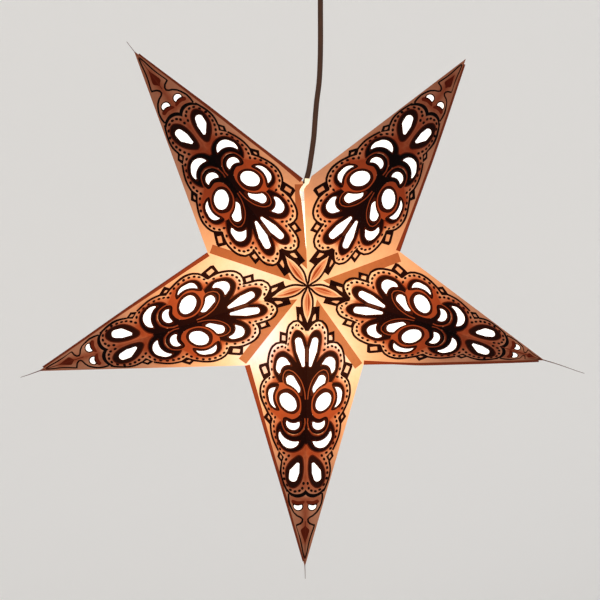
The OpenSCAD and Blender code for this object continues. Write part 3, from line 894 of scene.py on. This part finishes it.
def addTab(card, index, front):
    # the glue tab, folded at the seam and lying behind the next panel
    folded = starPoints[index]["name"] == "upper_left"
    holder = index if folded else (index - 1) % 5
    length = starPoints[holder]["open"]
    side = -1 if folded else 1
    outline = tabStrip()
    if folded:
        # the one tab that isn't glued keeps clear of the open seam
        rim = [seamSpot(r, q + freeTab["clear"]) for r, q in star["openGap"] if r < star["tabTo"]]
        outline = outline[:1] + rim + [seamSpot(star["tabTo"], freeTab["endIn"])] + outline[2:]

    def layer(times):
        sink = times * wallDrop(length)
        return [toWorld(holder, u, side * w, front * max(0, surfaceDepth(length, u, w) - sink))
                for u, w in outline]

    top, low = (layer(times) for times in tabSink)
    if side * front > 0:
        top, low = top[::-1], low[::-1]
    card.face(top, doubled=1, slot=1)
    card.face(low[::-1], doubled=1, slot=1)
    for k in range(len(top)):
        n = (k + 1) % len(top)
        card.face([top[n], top[k], low[k], low[n]], doubled=1, slot=1)


# materials

lampGlow = {
    "lamp": (-0.034, 0.033, -0.385),  # where the light comes from, as the lit paper shows it
    "holder": (-0.018, 0.0, -0.243),  # the holder shades the paper round it
    "holderShade": (0.015, 0.055),
    "inShade": 0.6,
    "perDecimetre": 10.0,  # the law of light below counts in decimetres
    "scattered": 0.93,
    "scatterReach": 7.7,
    "nearest": 0.55,  # the range of shares that the colours below are spread over
    "farthest": 1.25,
    # light that comes through plain card, nearest first
    "card": [(0.06, (1.55, 0.98, 0.88)), (0.14, (1.50, 0.94, 0.68)), (0.24, (1.42, 0.86, 0.50)),
             (0.33, (1.32, 0.74, 0.36)), (0.41, (1.20, 0.60, 0.27)), (0.50, (1.05, 0.46, 0.19)),
             (0.59, (0.85, 0.36, 0.145)), (0.66, (0.66, 0.27, 0.115)), (0.73, (0.42, 0.18, 0.09)),
             (0.79, (0.28, 0.12, 0.065)), (0.86, (0.19, 0.08, 0.045)), (0.96, (0.10, 0.035, 0.02))],
    "lining": [(0.0, (0.85, 0.85, 0.84)), (0.8, (0.80, 0.80, 0.79)), (1.0, (0.66, 0.64, 0.62))],
    "inside": [(0.0, (1.0, 0.96, 0.70)), (0.6, (0.98, 0.88, 0.56)), (1.0, (0.4, 0.24, 0.12))],
    "bulb": [(0.0, (1.0, 0.94, 0.78)), (1.0, (1.0, 0.94, 0.78))],
}
inks = {
    "paper": (0.15, 0.05, 0.024), "rust": (0.09, 0.007, 0.0015), "black": (0.0012, 0.0006, 0.0005),
    "blackPass": (0.019, 0.010, 0.009), "tabPass": (0.40, 0.19, 0.08),
    # the light that thicker and thicker rust print lets through
    "rustPass": [(0.0, (1.0, 1.0, 1.0)), (0.25, (0.795, 0.60, 0.514)), (0.5, (0.632, 0.36, 0.265)),
                 (0.75, (0.503, 0.216, 0.12)), (1.0, (0.40, 0.12, 0.05))],
}


def newGroup(name, inputs, outputs):
    tree = bpy.data.node_groups.new(name, "ShaderNodeTree")
    for label, kind, value in inputs:
        socket = tree.interface.new_socket(label, in_out="INPUT", socket_type=kind)
        socket.default_value = value
    for label, kind in outputs:
        tree.interface.new_socket(label, in_out="OUTPUT", socket_type=kind)
    return tree, tree.nodes.new("NodeGroupInput"), tree.nodes.new("NodeGroupOutput")


def rampColour(tree, place, stops):
    node = addNode(tree, "ShaderNodeValToRGB", {"Fac": place})
    ramp = node.color_ramp
    while len(ramp.elements) < len(stops):
        ramp.elements.new(0.5)
    for element, (stop, colour) in zip(ramp.elements, stops):
        element.position = stop
        element.color = (*colour, 1)
    return node.outputs["Color"]


def chain(tree, operation, *given):
    # one step of arithmetic on sockets and numbers
    return addNode(tree, "ShaderNodeMath", dict(enumerate(given)), operation=operation).outputs[0]


def mapRange(tree, socket, taken, given):
    return addNode(tree, "ShaderNodeMapRange", {"Value": socket, "From Min": taken[0], "From Max": taken[1],
                                                "To Min": given[0], "To Max": given[1]}).outputs[0]


def noise(tree, place, scale, detail, roughness=0.5, distortion=0.0):
    return addNode(tree, "ShaderNodeTexNoise", {"Vector": place, "Scale": scale, "Detail": detail,
                                                "Roughness": roughness, "Distortion": distortion}).outputs[0]


def makeDistanceGroup():
    # how little of the lamp's light reaches the back of a spot: the inverse root of what shines
    # straight on it and what the other paper scatters to it
    tree, given, result = newGroup("lampDistance", [("Unevenness", "NodeSocketFloat", 0.05)],
                                   [("Share", "NodeSocketFloat")])
    place = addNode(tree, "ShaderNodeTexCoord").outputs["Object"]
    facing = addNode(tree, "ShaderNodeNewGeometry").outputs["True Normal"]

    def vectorStep(operation, first, second=(0, 0, 0)):
        return addNode(tree, "ShaderNodeVectorMath", {0: first, 1: second}, operation=operation)

    away = vectorStep("SUBTRACT", place, lampGlow["lamp"]).outputs[0]
    size = vectorStep("LENGTH", away).outputs["Value"]
    lean = vectorStep("DOT_PRODUCT", away, facing).outputs["Value"]
    fromHolder = vectorStep("DISTANCE", place, lampGlow["holder"]).outputs["Value"]
    shade = mapRange(tree, fromHolder, lampGlow["holderShade"], (lampGlow["inShade"], 1.0))
    cloud = noise(tree, place, scale=14.0, detail=2.0)
    far = chain(tree, "MULTIPLY", size, lampGlow["perDecimetre"])
    straight = chain(tree, "DIVIDE", chain(tree, "ABSOLUTE", lean), size)
    straight = chain(tree, "MULTIPLY", straight, shade)
    straight = chain(tree, "DIVIDE", straight, chain(tree, "MULTIPLY", far, far))
    scattered = chain(tree, "EXPONENT", chain(tree, "DIVIDE", far, -lampGlow["scatterReach"]))
    scattered = chain(tree, "MULTIPLY", scattered, lampGlow["scattered"])
    share = chain(tree, "INVERSE_SQRT", chain(tree, "ADD", straight, scattered))
    span = lampGlow["farthest"] - lampGlow["nearest"]
    share = chain(tree, "DIVIDE", chain(tree, "SUBTRACT", share, lampGlow["nearest"]), span)
    uneven = chain(tree, "MULTIPLY", chain(tree, "SUBTRACT", cloud, 0.5), given.outputs["Unevenness"])
    feed(tree, result, {"Share": chain(tree, "ADD", share, uneven)})
    return tree


def makeFibreGroup():
    # paper pulp: fine fibres and cloudy thick and thin places
    tree, given, result = newGroup("paperFibre", [("Scale", "NodeSocketFloat", 900.0)],
                                   [("Tone", "NodeSocketFloat"), ("Height", "NodeSocketFloat")])
    place = addNode(tree, "ShaderNodeTexCoord").outputs["Object"]
    stretched = addNode(tree, "ShaderNodeMapping", {"Vector": place, "Scale": (1.0, 1.0, 0.35)}).outputs[0]
    fibre = noise(tree, stretched, given.outputs["Scale"], detail=5.0, roughness=0.65, distortion=1.2)
    pulp = noise(tree, place, scale=160.0, detail=3.0, roughness=0.55)
    both = chain(tree, "ADD", fibre, pulp)
    feed(tree, result, {"Tone": chain(tree, "MULTIPLY", both, 0.5), "Height": fibre})
    return tree


distanceGroup = makeDistanceGroup()
fibreGroup = makeFibreGroup()
noiseSpread = (0.3, 0.7)  # the values that a noise mostly takes


def addRelief(tree, height, strength, depth):
    bump = addNode(tree, "ShaderNodeBump", {"Strength": strength, "Distance": depth, "Height": height})
    return bump.outputs[0]


def paperNodes(tree, look, stops):
    # the light that reaches a spot, the fibre's tone and its relief
    share = addNode(tree, "ShaderNodeGroup", node_tree=distanceGroup)
    feed(tree, share, {"Unevenness": look["uneven"]})
    fibre = addNode(tree, "ShaderNodeGroup", node_tree=fibreGroup)
    feed(tree, fibre, {"Scale": look["fibreScale"]})
    light = rampColour(tree, share.outputs["Share"], stops)
    relief = addRelief(tree, fibre.outputs["Height"], strength=0.5, depth=look["relief"])
    return light, fibre.outputs["Tone"], relief


cardLook = {"uneven": 0.05, "fibreScale": 900.0, "relief": 0.00012, "tone": (0.90, 1.10),
            "rough": (0.62, 0.78), "specular": 0.03}


def makeCardMaterial():
    material, tree, shader = newMaterial("printedCard")
    light, pulp, relief = paperNodes(tree, cardLook, lampGlow["card"])
    ink, rust, doubled = (addNode(tree, "ShaderNodeAttribute", attribute_name=name).outputs["Fac"]
                          for name in ("ink", "rust", "doubled"))
    tone = mapRange(tree, pulp, noiseSpread, cardLook["tone"])
    base = mixColours(tree, "MIX", rust, inks["paper"], inks["rust"])
    base = mixColours(tree, "MIX", ink, base, inks["black"])
    through = rampColour(tree, rust, inks["rustPass"])
    blackPass = mixColours(tree, "MULTIPLY", 1.0, light, inks["blackPass"])
    passing = mixColours(tree, "MIX", ink, through, blackPass)
    passing = mixColours(tree, "MULTIPLY", 1.0, passing,
                         mixColours(tree, "MIX", doubled, (1.0, 1.0, 1.0), inks["tabPass"]))
    glow = mixColours(tree, "MULTIPLY", 1.0, light, passing)
    feed(tree, shader, {
        "Base Color": mixColours(tree, "MULTIPLY", 1.0, base, tone),
        "Emission Color": mixColours(tree, "MULTIPLY", 1.0, glow, tone), "Emission Strength": 1.0,
        "Roughness": mapRange(tree, pulp, noiseSpread, cardLook["rough"]),
        "Specular IOR Level": cardLook["specular"], "Normal": relief})
    return material


plainLook = {"uneven": 0.03, "fibreScale": 700.0, "tone": (0.94, 1.06), "specular": 0.2}
litPapers = {  # the table of its light, its colour, roughness and relief
    "cardInside": ("inside", (0.62, 0.50, 0.36), 0.85, 0.00012),
    "liningPaper": ("lining", (0.82, 0.81, 0.79), 0.8, 0.00008),
    "bulbGlass": ("bulb", (0.9, 0.88, 0.82), 0.25, 0.00002),
}


def makeLitPaper(name, table, colour, roughness, relief):
    # unprinted paper with the lamp's light in it
    material, tree, shader = newMaterial(name)
    light, pulp, bumps = paperNodes(tree, {**plainLook, "relief": relief}, lampGlow[table])
    tone = mapRange(tree, pulp, noiseSpread, plainLook["tone"])
    feed(tree, shader, {
        "Base Color": mixColours(tree, "MULTIPLY", 1.0, colour, tone),
        "Emission Color": mixColours(tree, "MULTIPLY", 1.0, light, tone), "Emission Strength": 1.0,
        "Roughness": roughness, "Specular IOR Level": plainLook["specular"], "Normal": bumps})
    return material


moulded = {"detail": 3.0, "roughSpread": 0.15, "coatRoughness": 0.15, "strength": 0.3, "relief": 0.0001}
plastics = {  # colour, roughness, coat, mottling and its scale, gloss
    "flexCover": ((0.060, 0.022, 0.009), 0.5, 0.0, 0.15, 90.0, 0.2),
    "holderPlastic": ((0.80, 0.78, 0.72), 0.42, 0.1, 0.03, 220.0, 0.5),
    "fittingPlastic": ((0.82, 0.81, 0.78), 0.38, 0.15, 0.03, 240.0, 0.5),
    "blockPlastic": ((0.85, 0.85, 0.84), 0.5, 0.0, 0.04, 300.0, 0.5),
}


def makePlastic(name, colour, roughness, coat, mottling, scale, gloss):
    material, tree, shader = newMaterial(name)
    place = addNode(tree, "ShaderNodeTexCoord").outputs["Object"]
    cloud = noise(tree, place, scale, moulded["detail"])
    tone = mapRange(tree, cloud, noiseSpread, (1 - mottling, 1 + mottling))
    rough = [roughness * (1 + sign * moulded["roughSpread"]) for sign in (-1, 1)]
    feed(tree, shader, {
        "Base Color": mixColours(tree, "MULTIPLY", 1.0, colour, tone),
        "Roughness": mapRange(tree, cloud, noiseSpread, rough),
        "Specular IOR Level": gloss, "Coat Weight": coat, "Coat Roughness": moulded["coatRoughness"],
        "Normal": addRelief(tree, cloud, moulded["strength"], moulded["relief"])})
    return material


finishes = {"printedCard": makeCardMaterial()}
for name, look in litPapers.items():
    finishes[name] = makeLitPaper(name, *look)
for name, look in plastics.items():
    finishes[name] = makePlastic(name, *look)
flexPiece.data.materials.append(finishes["flexCover"])
print("materials made")


for index, entry in enumerate(starPoints):
    card = cardMesh()
    for side in (1, -1):
        for front in (1, -1):
            addHalf(card, index, side, front)
    addLip(card, index)
    if entry["pinched"]:
        addFin(card, index)
    for front in (1, -1):
        addTab(card, index, front)
    if entry["name"] == "upper_right":
        outline = [seamSpot(*spot) for spot in freeTab["outline"]]
        card.plate(outline, index, freeTab["back"], freeTab["front"], slot=1)
    piece = card.build("card_" + entry["name"], [finishes["printedCard"], finishes["cardInside"]])
    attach(piece, "root")
    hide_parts("point_" + entry["name"])
print("five card points built")

nodeFinishes = {
    "holder_cap": "holderPlastic", "holder_body": "holderPlastic", "bulb": "bulbGlass",
    "cord_grip": "fittingPlastic", "ceiling_cup": "fittingPlastic", "ceiling_base": "fittingPlastic",
    "terminal_block": "blockPlastic",
}
for entry in starPoints:
    nodeFinishes["lining_" + entry["name"]] = "liningPaper"
for name, finish in nodeFinishes.items():
    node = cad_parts[name]
    node.data.materials.clear()
    node.data.materials.append(finishes[finish])
print("linings, lamp and ceiling fitting finished")
